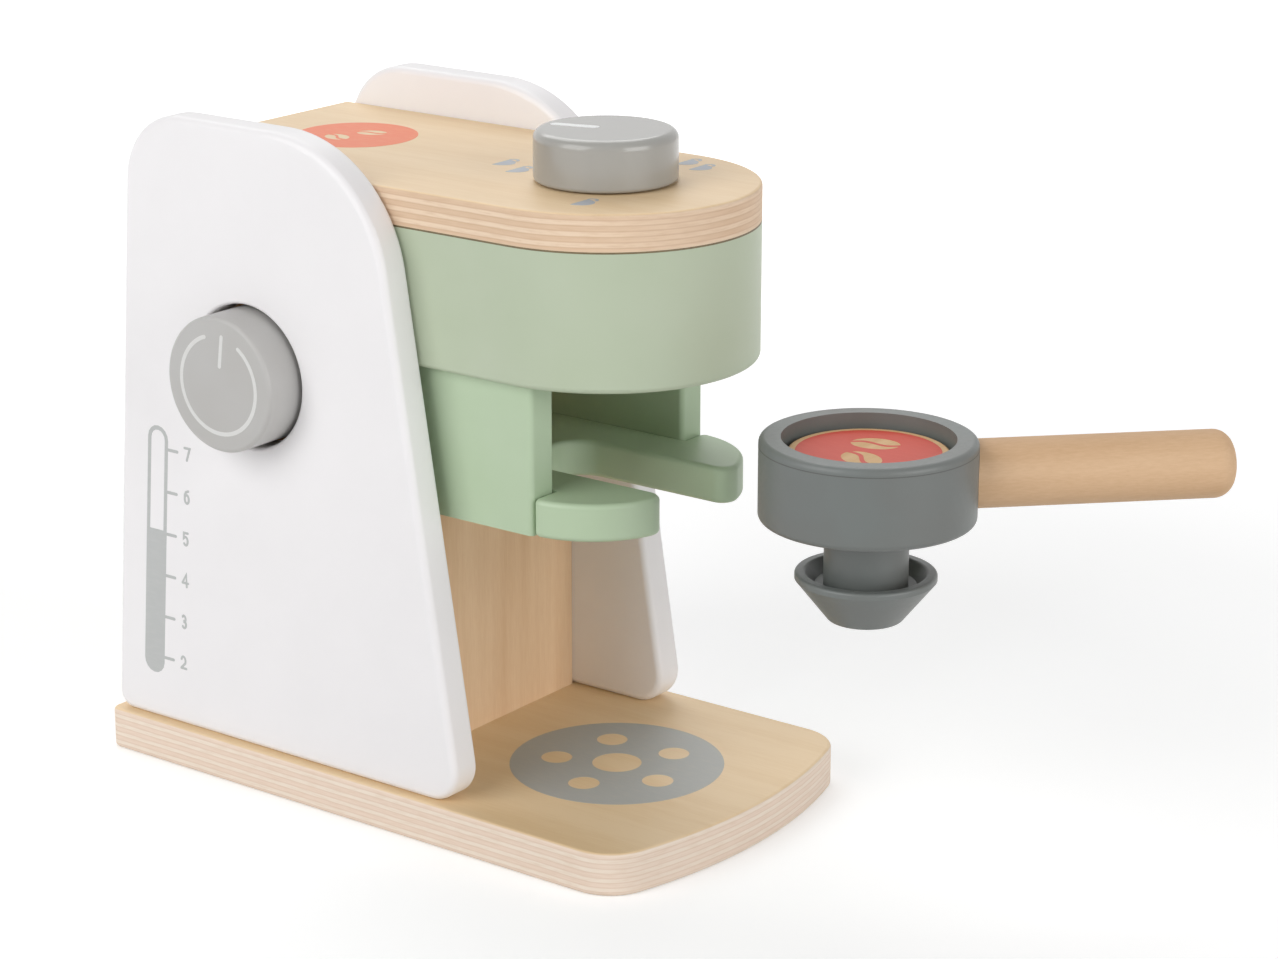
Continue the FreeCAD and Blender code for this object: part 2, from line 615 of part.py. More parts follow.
def filter_handle():
    """The turned handle with its tenon, coped to the cup's round side."""
    stick = doc.addObject("PartDesign::Body", "handle_stick")
    turned(stick, [("0", "tenon_tip"), ("tenon_radius", "tenon_tip"), ("tenon_radius", "recess_radius"),
                   ("handle_radius", "recess_radius"), ("handle_radius", "cup_radius + handle_length"),
                   ("0", "cup_radius + handle_length")])
    round_edges(stick, "handle_round", flat_at("Z", "cup_radius + handle_length"))
    place(stick, "0", "0", "handle_height", FreeCAD.Rotation(Vector(1, 0, 0), 90))
    barrel = doc.addObject("Part::Cylinder", "handle_cope")
    barrel.setExpression("Radius", bound("cup_radius + cope_gap"))
    barrel.setExpression("Height", bound("cup_height"))
    tenon = doc.addObject("Part::Cylinder", "handle_tenon")
    tenon.setExpression("Radius", bound("tenon_radius"))
    tenon.setExpression("Height", bound("cup_radius + cope_overlap - tenon_tip"))
    place(tenon, "0", "-tenon_tip", "handle_height", FreeCAD.Rotation(Vector(1, 0, 0), 90))
    coped = doc.addObject("Part::Cut", "handle_coped")
    coped.Base, coped.Tool = stick, barrel
    handle = doc.addObject("Part::Fuse", "filter_handle")
    handle.Base, handle.Tool = coped, tenon
    at_filter(handle, handle_turn())
    nodes.append(handle)


def coffee_pad():
    """The loose disc that lies in the cup's recess."""
    body = new_body("coffee_pad")
    low = "(cup_height - recess_depth + pad_gap)"
    high = f"({low} + pad_thick)"
    turned(body, [("0", low), ("pad_radius", low), ("pad_radius", high), ("0", high)])
    round_edges(body, "pad_round", flat_at("Z", low, high))
    at_filter(body, handle_turn())


def export():
    """Checks every object and every sub-part's solid, then writes one file per sub-part."""
    doc.recompute()
    failed = [item.Name for item in doc.Objects if {"Invalid", "Error"} & set(item.State)]
    if failed:
        raise RuntimeError(f"not computed: {failed}")
    os.makedirs("parts", exist_ok=True)
    for node in nodes:
        shape = node.Shape
        if shape.isNull() or not shape.isValid() or not shape.Solids:
            raise RuntimeError(f"{node.Label} has no valid solid")
        shape.exportStep(f"parts/{node.Label}.step")
        box = shape.BoundBox
        print(f"{node.Label:18s} solids {len(shape.Solids):2d}  volume {shape.Volume:10.1f}  "
              f"x {box.XMin:7.2f} {box.XMax:7.2f}  y {box.YMin:7.2f} {box.YMax:7.2f}  "
              f"z {box.ZMin:7.2f} {box.ZMax:7.2f}")


base_board()
side_panel("left_side_panel", -1)
side_panel("right_side_panel", 1)
partition_panel()
wall("rear_panel", "(rear_face - board_thick)", "board_thick", SIDE_DOWELS["rear"])
top_board()
head_block()
cheek("left_cheek", -1)
cheek("right_cheek", 1)
fork_plate()
dowels()
base_screws()
brew_knob()
knob_spindle()
knob_washer()
knob_nut()
power_button()
button_retainer()
button_stem()
button_guide()
stop_sleeve()
button_spring()
filter_spout()
filter_screw()
filter_cup()
filter_handle()
coffee_pad()
export()
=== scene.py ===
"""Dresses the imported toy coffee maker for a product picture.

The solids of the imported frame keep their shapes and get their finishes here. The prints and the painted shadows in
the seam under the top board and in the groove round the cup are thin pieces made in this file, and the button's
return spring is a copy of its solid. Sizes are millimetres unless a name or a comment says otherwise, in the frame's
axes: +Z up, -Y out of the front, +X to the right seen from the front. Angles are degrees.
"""

import logging
import math
from dataclasses import dataclass
from enum import Enum

import bmesh
import bpy
from bpy.types import Material, Node, NodeSocket, NodeTree, Object
from mathutils import Matrix, Vector


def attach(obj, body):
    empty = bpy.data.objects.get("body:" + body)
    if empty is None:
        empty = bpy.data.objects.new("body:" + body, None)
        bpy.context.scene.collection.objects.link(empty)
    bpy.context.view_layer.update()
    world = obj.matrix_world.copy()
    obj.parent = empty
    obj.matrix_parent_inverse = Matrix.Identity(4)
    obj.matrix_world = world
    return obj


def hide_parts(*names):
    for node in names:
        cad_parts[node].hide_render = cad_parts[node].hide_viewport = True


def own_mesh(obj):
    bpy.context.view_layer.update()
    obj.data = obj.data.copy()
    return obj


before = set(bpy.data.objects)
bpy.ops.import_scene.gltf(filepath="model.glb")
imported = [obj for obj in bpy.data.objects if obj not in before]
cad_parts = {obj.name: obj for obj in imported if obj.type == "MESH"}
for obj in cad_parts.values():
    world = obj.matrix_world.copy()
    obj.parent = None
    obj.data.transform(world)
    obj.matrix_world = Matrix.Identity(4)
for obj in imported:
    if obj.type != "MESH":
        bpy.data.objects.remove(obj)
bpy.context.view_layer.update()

log = logging.getLogger("coffee_maker")

Point = tuple[float, float]
Place = tuple[float, float, float]
Loop = list[Point]

# Metres in a millimetre.
MM = 0.001

# A print stands this far over its face, each shape in it a step higher than the one before, and its rim goes this
# deep into the face.
PRINT_LIFT = 0.04
PRINT_STEP = 0.004
PRINT_SINK = 0.3

# A painted shadow line stands this far over the surface that it marks.
LINE_LIFT = 0.03

# The strength at which a background is just white.
WHITE_LEVEL = 1.0

PAINT_IOR = 1.5
WOOD_IOR = 1.45

# How much of a pattern's strength each finer octave keeps.
OCTAVE_SHARE = 0.55

# A Mix node's sockets for colours. They go by number, because the sockets for numbers have the same names.
MIX_FIRST, MIX_SECOND, MIX_RESULT = 6, 7, 2


class Grain(Enum):
    """The way the wood's fibres run, as the axis of a part."""

    ALONG_X = 0
    ALONG_Y = 1
    ALONG_Z = 2


class Sheen(Enum):
    """Roughness of a finish, from bare wood to gloss paint."""

    BARE = 0.62
    MATTE = 0.5
    SATIN = 0.42
    GLOSS = 0.24


# ---------------------------------------------------------------- shared helpers


def linear(code: str) -> tuple[float, float, float, float]:
    """Turns an sRGB hex colour to linear values.

    Args:
        code: the colour, such as "#e8d9c0".

    Returns:
        Red, green and blue, linear, and an alpha of 1.
    """
    channels = (int(code[i:i + 2], 16) / 255 for i in (1, 3, 5))
    red, green, blue = (c / 12.92 if c <= 0.04045 else ((c + 0.055) / 1.055) ** 2.4 for c in channels)
    return red, green, blue, 1.0


def add_node(tree: NodeTree, kind: str, inputs: dict | None = None, **settings) -> Node:
    """Adds one node with its settings and its inputs' values or links.

    Args:
        tree: the node tree.
        kind: Blender's name for the node type, without the ShaderNode at its start.
        inputs: value or output socket for each input, by the input's name or number.
        **settings: attributes of the node.

    Returns:
        The new node.
    """
    node = tree.nodes.new("ShaderNode" + kind)
    for name, value in settings.items():
        setattr(node, name, value)
    for name, value in (inputs or {}).items():
        socket = node.inputs[name]
        if isinstance(value, NodeSocket):
            tree.links.new(value, socket)
        else:
            socket.default_value = value
    return node


def fresh_material(name: str) -> tuple[Material, NodeTree]:
    """Makes an empty node material.

    Args:
        name: the material's name.

    Returns:
        The material and its node tree.
    """
    material = bpy.data.materials.new(name)
    material.use_nodes = True
    material.node_tree.nodes.clear()
    return material, material.node_tree


def close_material(tree: NodeTree, shader: NodeSocket) -> None:
    """Links a shader to the material's output."""
    add_node(tree, "OutputMaterial", {"Surface": shader})


def stretched_noise(tree: NodeTree, space: NodeSocket, sizes: Place, detail: float) -> NodeSocket:
    """Noise whose features have real sizes along the part's axes.

    Args:
        tree: the node tree.
        space: the part's own coordinates in metres.
        sizes: length of a feature along x, y and z.
        detail: octaves of finer noise.

    Returns:
        The noise value, about 0.5 on average.
    """
    scaled = add_node(tree, "VectorMath", {0: space, 1: [1 / (size * MM) for size in sizes]}, operation="MULTIPLY")
    return add_node(tree, "TexNoise", {"Vector": scaled.outputs["Vector"], "Scale": 1.0, "Detail": detail,
                                       "Roughness": OCTAVE_SHARE}).outputs["Fac"]


def shaded(tree: NodeTree, pattern: NodeSocket, levels: Point, low: NodeSocket | str,
           high: NodeSocket | str, shares: Point = (0.0, 1.0)) -> NodeSocket:
    """A colour that goes from one to another as a pattern rises.

    Args:
        tree: the node tree.
        pattern: the pattern's value.
        levels: the values between which the colour changes.
        low: the first colour, sRGB hex or a socket.
        high: the second colour, sRGB hex or a socket.
        shares: how much of the second colour there is at the two levels.

    Returns:
        The colour.
    """
    amount = add_node(tree, "MapRange", {"Value": pattern, "From Min": levels[0], "From Max": levels[1],
                                         "To Min": shares[0], "To Max": shares[1]})
    first, second = (linear(colour) if isinstance(colour, str) else colour for colour in (low, high))
    return add_node(tree, "Mix", {"Factor": amount.outputs["Result"], MIX_FIRST: first,
                                  MIX_SECOND: second}, data_type="RGBA").outputs[MIX_RESULT]


def dress(nodes: list[str], material: Material) -> None:
    """Gives the frame's own solids a finish on their material slots.

    Args:
        nodes: the solids' names.
        material: the finish.
    """
    for name in nodes:
        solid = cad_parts[name]
        if not solid.material_slots:
            solid.data.materials.append(material)
        for place in solid.material_slots:
            place.material = material


def new_piece(name: str, shape: bmesh.types.BMesh, material: Material, body: str) -> Object:
    """Turns a bmesh into a piece that rides on a body.

    Args:
        name: the piece's name.
        shape: its mesh in metres; it is freed.
        material: its finish.
        body: the body that carries it.

    Returns:
        The piece.
    """
    mesh = bpy.data.meshes.new(name)
    shape.to_mesh(mesh)
    shape.free()
    mesh.materials.append(material)
    piece = bpy.data.objects.new(name, mesh)
    bpy.context.scene.collection.objects.link(piece)
    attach(piece, body)
    log.info("%s: %d faces on %s", name, len(mesh.polygons), body)
    return piece


def shadow_line(name: str, path: Loop, z: float, height: float, material: Material, body: str,
              closed: bool = False) -> Object:
    """Makes a painted shadow: a thin dark line round a part as a narrow upright band.

    Args:
        name: the piece's name.
        path: x and y of the points that the line goes through.
        z: height of its middle.
        height: the band's height.
        material: its finish.
        body: the body that carries it.
        closed: whether it goes all the way round.

    Returns:
        The line.
    """
    band = bmesh.new()
    rows = [[band.verts.new((x * MM, y * MM, (z + side * height / 2) * MM)) for side in (-1, 1)] for x, y in path]
    following = rows[1:] + rows[:1] if closed else rows[1:]
    for (a, b), (c, d) in zip(rows, following):
        band.faces.new((a, c, d, b))
    return new_piece(name, band, material, body)


# ---------------------------------------------------------------- flat shapes for the prints


def arc(centre: Point, radius: float, start: float, stop: float, steps: int) -> Loop:
    """Points on an arc.

    Args:
        centre: its middle.
        radius: its radius.
        start: first angle, anticlockwise from +u.
        stop: last angle.
        steps: number of runs.

    Returns:
        The points, both ends included.
    """
    angles = (math.radians(start + (stop - start) * i / steps) for i in range(steps + 1))
    return [(centre[0] + radius * math.cos(a), centre[1] + radius * math.sin(a)) for a in angles]


def circle(centre: Point, radius: float, steps: int = 72) -> Loop:
    """A closed circle as a loop of points."""
    return arc(centre, radius, 0, 360 * (steps - 1) / steps, steps - 1)


def stroke(path: Loop, width: float) -> Loop:
    """The outline of a line drawn with a round nib.

    Args:
        path: the points that the nib goes through.
        width: the nib's width.

    Returns:
        A closed loop round the line.
    """
    cap_steps, least_slant = 8, 0.4
    points = [Vector(p) for p in path]
    left, right = [], []
    for i, point in enumerate(points):
        before = (point - points[i - 1]).normalized() if i else None
        after = (points[i + 1] - point).normalized() if i < len(points) - 1 else None
        run_in, run_out = before or after, after or before
        along = (run_in + run_out).normalized()
        across = Vector((-along.y, along.x))
        reach = width / 2 / max(least_slant, across.dot(Vector((-run_in.y, run_in.x))))
        left.append(point + across * reach)
        right.append(point - across * reach)
    caps = []
    for tip, first in ((points[-1], left[-1]), (points[0], right[0])):
        angle = math.degrees(math.atan2(first.y - tip.y, first.x - tip.x))
        caps.append(arc(tuple(tip), width / 2, angle, angle - 180, cap_steps)[1:-1])
    return [tuple(p) for p in left] + caps[0] + [tuple(p) for p in reversed(right)] + caps[1]


def turned(loop: Loop, angle: float) -> Loop:
    """A loop turned anticlockwise about the origin."""
    c, s = math.cos(math.radians(angle)), math.sin(math.radians(angle))
    return [(u * c - v * s, u * s + v * c) for u, v in loop]


def moved(loop: Loop, shift: Point) -> Loop:
    """A loop moved without a turn."""
    return [(u + shift[0], v + shift[1]) for u, v in loop]


def area(loop: Loop) -> float:
    """Signed area of a closed loop, above 0 if it runs anticlockwise."""
    return sum(a[0] * b[1] - b[0] * a[1] for a, b in zip(loop, loop[1:] + loop[:1])) / 2


@dataclass(frozen=True)
class Face:
    """A flat face of the toy that a print lies on; u across v points out of the surface.

    Attributes:
        origin: the place of (0, 0) in the frame.
        u: direction of the first coordinate.
        v: direction of the second.
    """

    origin: Place
    u: Place = (1, 0, 0)
    v: Place = (0, 1, 0)

    def place(self, point: Point, lift: float) -> Vector:
        """A point of the print in the frame, in metres, at a height over the face."""
        u, v = Vector(self.u), Vector(self.v)
        return (Vector(self.origin) + u * point[0] + v * point[1] + u.cross(v) * lift) * MM

    def print_film(self, name: str, shapes: list[list[Loop]], material: Material, body: str,
                   passes: int = 0) -> Object:
        """Lays a film of ink on the face, each shape a hair over the one before, so that strokes may cross.

        Args:
            name: the piece's name.
            shapes: each shape's outer loop, and after it the loops of its holes.
            material: the ink.
            body: the body that carries the face.
            passes: how many shapes lie under this film already.

        Returns:
            The film, whose rim goes a little way into the face.
        """
        film = bmesh.new()
        outward = Vector(self.u).cross(Vector(self.v))
        for layer, loops in enumerate(shapes, passes):
            lift = PRINT_LIFT + PRINT_STEP * layer
            edges = []
            for number, loop in enumerate(loops):
                anticlockwise = area(loop) > 0
                ordered = loop if anticlockwise == (number == 0) else loop[::-1]
                top = [film.verts.new(self.place(p, lift)) for p in ordered]
                low = [film.verts.new(self.place(p, -PRINT_SINK)) for p in ordered]
                for i in range(len(top)):
                    edges.append(film.edges.new((top[i - 1], top[i])))
                    film.faces.new((top[i - 1], low[i - 1], low[i], top[i]))
            filled = bmesh.ops.triangle_fill(film, use_beauty=True, edges=edges, normal=outward)
            for item in filled["geom"]:
                if isinstance(item, bmesh.types.BMFace) and item.normal.dot(outward) < 0:
                    item.normal_flip()
        return new_piece(name, film, material, body)


@dataclass(frozen=True)
class BeanShape:
    """A plain coffee bean as two printed halves, with the wavy crease between them left open.

    Attributes:
        length: the bean's length.
        width: its width.
        slit: width of the crease.
        swing: how far the crease swings to a side, as a share of the width.
        tip: angle at which a half's rim ends, from the bean's side.
        rim_steps: runs along a half's rim.
        crease_steps: runs along the crease.
    """

    length: float
    width: float
    slit: float
    swing: float = 0.11
    tip: float = 82.0
    rim_steps: int = 24
    crease_steps: int = 18

    def halves(self, centre: Point, angle: float) -> list[Loop]:
        """The loops of the bean's halves.

        Args:
            centre: the bean's middle.
            angle: the way its length points, anticlockwise from +u.

        Returns:
            The two loops.
        """
        loops = []
        for side in (1, -1):
            angles = (math.radians(-self.tip + 2 * self.tip * i / self.rim_steps) for i in range(self.rim_steps + 1))
            rim = [(side * self.width / 2 * math.cos(a), self.length / 2 * math.sin(a)) for a in angles]
            top = rim[-1][1]
            crease = []
            for i in range(1, self.crease_steps):
                v = top * (1 - 2 * i / self.crease_steps)
                crease.append((side * self.slit / 2 + self.swing * self.width * math.sin(math.pi * v / top), v))
            loops.append(moved(turned(rim + crease, angle - 90), centre))
        return loops


@dataclass(frozen=True)
class CupIcon:
    """A small plain cup seen from its side.

    Attributes:
        radius: half the bowl's width.
        brim: height of the brim over the icon's middle, before the bowl is stretched.
        stretch: how much deeper the bowl is than half round.
        ear: middle of the handle's curve.
        ear_radius: that curve's radius.
        ear_sweep: its first and last angle.
        ear_line: width of the handle's line.
    """

    radius: float = 3.7
    brim: float = 2.0
    stretch: float = 1.2
    ear: Point = (3.8, 0.9)
    ear_radius: float = 1.3
    ear_sweep: Point = (78.0, -100.0)
    ear_line: float = 0.8

    def shapes(self, centre: Point) -> list[list[Loop]]:
        """The bowl and the handle, for an icon whose middle is at centre."""
        bowl = [(u, v * self.stretch) for u, v in arc((0.0, self.brim), self.radius, 180, 360, 20)]
        ear = stroke(arc(self.ear, self.ear_radius, *self.ear_sweep, 12), self.ear_line)
        return [[moved(bowl, centre)], [moved(ear, centre)]]


# Plain round-nib figures in a box one wide and one high, as the strokes that the nib makes.
DIGITS: dict[int, list[Loop]] = {
    2: [arc((0.48, 0.68), 0.34, 160, -38, 16) + [(0.08, 0.06)], [(0.06, 0.04), (0.92, 0.04)]],
    3: [arc((0.44, 0.74), 0.27, 140, -85, 16), arc((0.44, 0.29), 0.30, 85, -145, 16)],
    4: [[(0.72, 0.0), (0.72, 1.0), (0.04, 0.3)], [(0.04, 0.3), (0.98, 0.3)]],
    5: [[(0.84, 0.98), (0.2, 0.98), (0.16, 0.56)] + arc((0.44, 0.32), 0.34, 118, -140, 16)],
    6: [arc((0.5, 0.31), 0.34, 0, 180, 12), arc((0.5, 0.31), 0.34, 180, 360, 12),
        [(0.17, 0.36), (0.2, 0.62), (0.42, 0.88), (0.8, 0.98)]],
    7: [[(0.06, 0.98), (0.9, 0.98), (0.36, 0.0)]],
}


# ---------------------------------------------------------------- finishes


@dataclass(frozen=True)
class Paint:
    """Water-based paint over a smooth sanded part.

    Attributes:
        name: the material's name.
        colour: its colour.
        worn: the colour of its slightly thinner patches.
        sheen: how glossy it is.
        peel: size of the faint roller or spray texture. The real one is a few tenths of a millimetre, too fine for
            the picture, so it is drawn as coarse as it needs to show.
        relief: height of that texture.
        coat: weight of a clear coat on top.
        coat_roughness: that coat's roughness.
        patch: size of a thinner patch.
        patch_levels: values of the patches' noise between which the paint thins.
        peel_levels: values of the texture's noise between which the roughness changes.
        gloss_shares: the roughness there, as shares of the sheen.
    """

    name: str
    colour: str
    worn: str
    sheen: Sheen
    peel: float = 1.4
    relief: float = 0.012
    coat: float = 0.0
    coat_roughness: float = 0.12
    patch: float = 26.0
    patch_levels: Point = (0.35, 0.75)
    peel_levels: Point = (0.3, 0.7)
    gloss_shares: Point = (0.95, 1.08)

    def build(self) -> Material:
        """Makes the paint's nodes.

        Returns:
            The material.
        """
        material, tree = fresh_material(self.name)
        space = add_node(tree, "TexCoord").outputs["Object"]
        patches = stretched_noise(tree, space, (self.patch,) * 3, 2.0)
        peel = stretched_noise(tree, space, (self.peel,) * 3, 2.0)
        tint = shaded(tree, patches, self.patch_levels, self.colour, self.worn)
        rough = add_node(tree, "MapRange", {"Value": peel, "From Min": self.peel_levels[0],
                                            "From Max": self.peel_levels[1],
                                            "To Min": self.sheen.value * self.gloss_shares[0],
                                            "To Max": self.sheen.value * self.gloss_shares[1]})
        bump = add_node(tree, "Bump", {"Height": peel, "Strength": 0.6, "Distance": self.relief * MM})
        shader = add_node(tree, "BsdfPrincipled",
                          {"Base Color": tint, "Roughness": rough.outputs["Result"], "IOR": PAINT_IOR,
                           "Normal": bump.outputs["Normal"], "Coat Weight": self.coat,
                           "Coat Roughness": self.coat_roughness})
        close_material(tree, shader.outputs["BSDF"])
        return material


@dataclass(frozen=True)
class InkAndShade:
    """Screen-printed or pad-printed ink thin enough to show the ground's texture, and the painted shadow lines.

    Attributes:
        name: the material's name.
        colour: its colour.
        thin: the colour where the film is thinner.
        mottle: size of a thin place on each axis, drawn out along the wood's fibres.
        mottle_levels: values of its noise between which the film thins.
        relief: height of the ground's texture in the film.
    """

    name: str
    colour: str
    thin: str
    mottle: Place = (1.1, 5.0, 1.1)
    mottle_levels: Point = (0.45, 0.85)
    relief: float = 0.01

    def build(self) -> Material:
        """Makes the ink's nodes.

        Returns:
            The material.
        """
        material, tree = fresh_material(self.name)
        space = add_node(tree, "TexCoord").outputs["Object"]
        mottle = stretched_noise(tree, space, self.mottle, 4.0)
        tint = shaded(tree, mottle, self.mottle_levels, self.colour, self.thin)
        bump = add_node(tree, "Bump", {"Height": mottle, "Strength": 0.4, "Distance": self.relief * MM})
        shader = add_node(tree, "BsdfPrincipled", {"Base Color": tint, "Roughness": Sheen.MATTE.value,
                                                   "IOR": PAINT_IOR, "Normal": bump.outputs["Normal"]})
        close_material(tree, shader.outputs["BSDF"])
        return material


@dataclass(frozen=True)
class SolidWood:
    """Sanded bare wood with its fibres along one direction.

    Attributes:
        name: the material's name.
        pale: the early wood's colour.
        dark: the late wood's colour.
        grain: the axis that the fibres follow.
        turn: how far the axes are turned about the vertical first.
        band: width of a growth band.
        band_length: how far a band runs before it changes.
        fibre: length and width of the short dark pores.
        fibre_share: how much the pores add to the bands.
        levels: values of both together between which the wood darkens.
        relief: depth of a pore.
    """

    name: str
    pale: str
    dark: str
    grain: Grain
    turn: float = 0.0
    band: float = 7.0
    band_length: float = 120.0
    fibre: Point = (5.0, 0.45)
    fibre_share: float = 0.45
    levels: Point = (0.5, 0.98)
    relief: float = 0.03

    def sizes(self, length: float, width: float) -> Place:
        """A feature's size on each axis, long along the grain."""
        return tuple(length if axis == self.grain.value else width for axis in range(3))

    def build(self) -> Material:
        """Makes the wood's nodes.

        Returns:
            The material.
        """
        material, tree = fresh_material(self.name)
        space = add_node(tree, "TexCoord").outputs["Object"]
        if self.turn:
            space = add_node(tree, "VectorRotate", {"Vector": space, "Angle": math.radians(self.turn)},
                             rotation_type="Z_AXIS").outputs["Vector"]
        bands = stretched_noise(tree, space, self.sizes(self.band_length, self.band), 4.0)
        fibres = stretched_noise(tree, space, self.sizes(*self.fibre), 3.0)
        blend = add_node(tree, "Math", {0: fibres, 1: self.fibre_share, 2: bands}, operation="MULTIPLY_ADD")
        tint = shaded(tree, blend.outputs["Value"], self.levels, self.pale, self.dark)
        bump = add_node(tree, "Bump", {"Height": fibres, "Strength": 0.5, "Distance": self.relief * MM})
        shader = add_node(tree, "BsdfPrincipled",
                          {"Base Color": tint, "Roughness": Sheen.BARE.value, "IOR": WOOD_IOR,
                           "Normal": bump.outputs["Normal"]})
        close_material(tree, shader.outputs["BSDF"])
        return material


@dataclass(frozen=True)
class Plywood:
    """Birch plywood: a lacquered pale face, and sawn edges that show its crossed layers.

    Attributes:
        name: the material's name.
        underside: height of the board's underside.
        thickness: the board's thickness.
        layers: number of veneers.
        face: the face's colour.
        streak: the face's darker fibres.
        long_grain: an edge layer cut along its fibres.
        end_grain: an edge layer cut across its fibres.
        glue: the line between two layers.
        figure: size of a pale or dark streak on each axis of the face.
        pores: size of a pore on each axis.
        pore_share: how much the pores add to the streaks.
        face_levels: values of both together between which the face darkens.
        pore_relief: depth of a pore.
        wave: length of the layers' slight wave.
        wave_height: that wave's height, in layers.
        glue_levels: distance from a glue line at which it is dark and at which it has gone, in layers.
        glue_share: how dark it is.
        saw: size of a saw mark on each axis.
        saw_levels: values of their noise between which they darken.
        saw_share: how dark they are.
        turn_levels: how far up a surface has to face to start and to end the change from edge to face.
        edge_roughness: roughness of the sawn edge.
        face_roughness: roughness of the lacquered face.
    """

    name: str
    underside: float
    thickness: float
    layers: int
    face: str = "#efd4ad"
    streak: str = "#e6c79b"
    long_grain: str = "#f5e6d6"
    end_grain: str = "#f0dbc9"
    glue: str = "#dfc4ab"
    figure: Place = (9.0, 150.0, 9.0)
    pores: Place = (0.7, 9.0, 0.7)
    pore_share: float = 0.4
    face_levels: Point = (0.55, 0.95)
    pore_relief: float = 0.02
    wave: float = 30.0
    wave_height: float = 0.3
    glue_levels: Point = (0.04, 0.2)
    glue_share: float = 0.55
    saw: Place = (5.0, 5.0, 0.5)
    saw_levels: Point = (0.45, 0.8)
    saw_share: float = 0.5
    turn_levels: Point = (0.55, 0.8)
    edge_roughness: float = 0.6
    face_roughness: float = 0.45

    def sawn_edge(self, tree: NodeTree, space: NodeSocket, sideways: NodeSocket) -> NodeSocket:
        """The edge's colour: stripes counted up from the underside, slightly wavy as pressed veneers are.

        Args:
            tree: the node tree.
            space: the part's own coordinates in metres.
            sideways: 1 where the edge faces left or right, 0 where it faces front or back.

        Returns:
            The colour.
        """
        wave = stretched_noise(tree, space, (self.wave,) * 3, 1.0)
        height = add_node(tree, "SeparateXYZ", {"Vector": space}).outputs["Z"]
        step = self.thickness / self.layers * MM
        count = add_node(tree, "Math", {0: height, 1: 1 / step, 2: -self.underside * MM / step},
                         operation="MULTIPLY_ADD")
        wavy = add_node(tree, "Math", {0: wave, 1: self.wave_height, 2: count.outputs["Value"]},
                        operation="MULTIPLY_ADD").outputs["Value"]

        # Every second layer shows its ends where its neighbours show their length, and the other way round the corner.
        number = add_node(tree, "Math", {0: wavy}, operation="FLOOR")
        parity = add_node(tree, "Math", {0: number.outputs["Value"], 1: 2.0}, operation="FLOORED_MODULO")
        crossed = add_node(tree, "Math", {0: parity.outputs["Value"], 1: sideways}, operation="SUBTRACT")
        end = add_node(tree, "Math", {0: crossed.outputs["Value"]}, operation="ABSOLUTE")
        layer = shaded(tree, end.outputs["Value"], (0.0, 1.0), self.long_grain, self.end_grain)

        away = add_node(tree, "Math", {0: wavy, 1: 0.5}, operation="PINGPONG")
        glued = shaded(tree, away.outputs["Value"], self.glue_levels, layer, self.glue, (self.glue_share, 0.0))
        marks = stretched_noise(tree, space, self.saw, 4.0)
        return shaded(tree, marks, self.saw_levels, glued, self.glue, (0.0, self.saw_share))

    def build(self) -> Material:
        """Makes the plywood's nodes.

        Returns:
            The material.
        """
        material, tree = fresh_material(self.name)
        where = add_node(tree, "TexCoord")
        space = where.outputs["Object"]
        facing = add_node(tree, "SeparateXYZ", {"Vector": where.outputs["Normal"]}).outputs
        sideways = add_node(tree, "Math", {0: facing["X"]}, operation="ABSOLUTE").outputs["Value"]
        upward = add_node(tree, "Math", {0: facing["Z"]}, operation="ABSOLUTE").outputs["Value"]

        figure = stretched_noise(tree, space, self.figure, 4.0)
        pores = stretched_noise(tree, space, self.pores, 3.0)
        blend = add_node(tree, "Math", {0: pores, 1: self.pore_share, 2: figure}, operation="MULTIPLY_ADD")
        face = shaded(tree, blend.outputs["Value"], self.face_levels, self.face, self.streak)
        edge = self.sawn_edge(tree, space, sideways)
        tint = shaded(tree, upward, self.turn_levels, edge, face)
        rough = add_node(tree, "MapRange", {"Value": upward, "From Min": self.turn_levels[0],
                                            "From Max": self.turn_levels[1],
                                            "To Min": self.edge_roughness,
                                            "To Max": self.face_roughness})
        bump = add_node(tree, "Bump", {"Height": pores, "Strength": 0.4, "Distance": self.pore_relief * MM})
        shader = add_node(tree, "BsdfPrincipled",
                          {"Base Color": tint, "Roughness": rough.outputs["Result"], "IOR": WOOD_IOR,
                           "Normal": bump.outputs["Normal"]})
        close_material(tree, shader.outputs["BSDF"])
        return material


@dataclass(frozen=True)
class ZincSteel:
    """Bright zinc plate on turned steel: grey metal with fine turning marks.

    Attributes:
        name: the material's name.
        colour: its colour.
        dull: the colour of its duller marks.
        marks: size of a turning mark on each axis.
        roughness: its roughness between and in the marks.
    """

    name: str = "zinc_plated_steel"
    colour: str = "#c4c6c8"
    dull: str = "#a9abad"
    marks: Place = (4.0, 4.0, 0.3)
    roughness: Point = (0.25, 0.45)

    def build(self) -> Material:
        """Makes the metal's nodes.

        Returns:
            The material.
        """
        material, tree = fresh_material(self.name)
        space = add_node(tree, "TexCoord").outputs["Object"]
        marks = stretched_noise(tree, space, self.marks, 3.0)
        tint = shaded(tree, marks, (0.0, 1.0), self.colour, self.dull)
        rough = add_node(tree, "MapRange", {"Value": marks, "To Min": self.roughness[0], "To Max": self.roughness[1]})
        shader = add_node(tree, "BsdfPrincipled",
                          {"Base Color": tint, "Roughness": rough.outputs["Result"], "Metallic": 1.0})
        close_material(tree, shader.outputs["BSDF"])
        return material


# ---------------------------------------------------------------- sub-assemblies


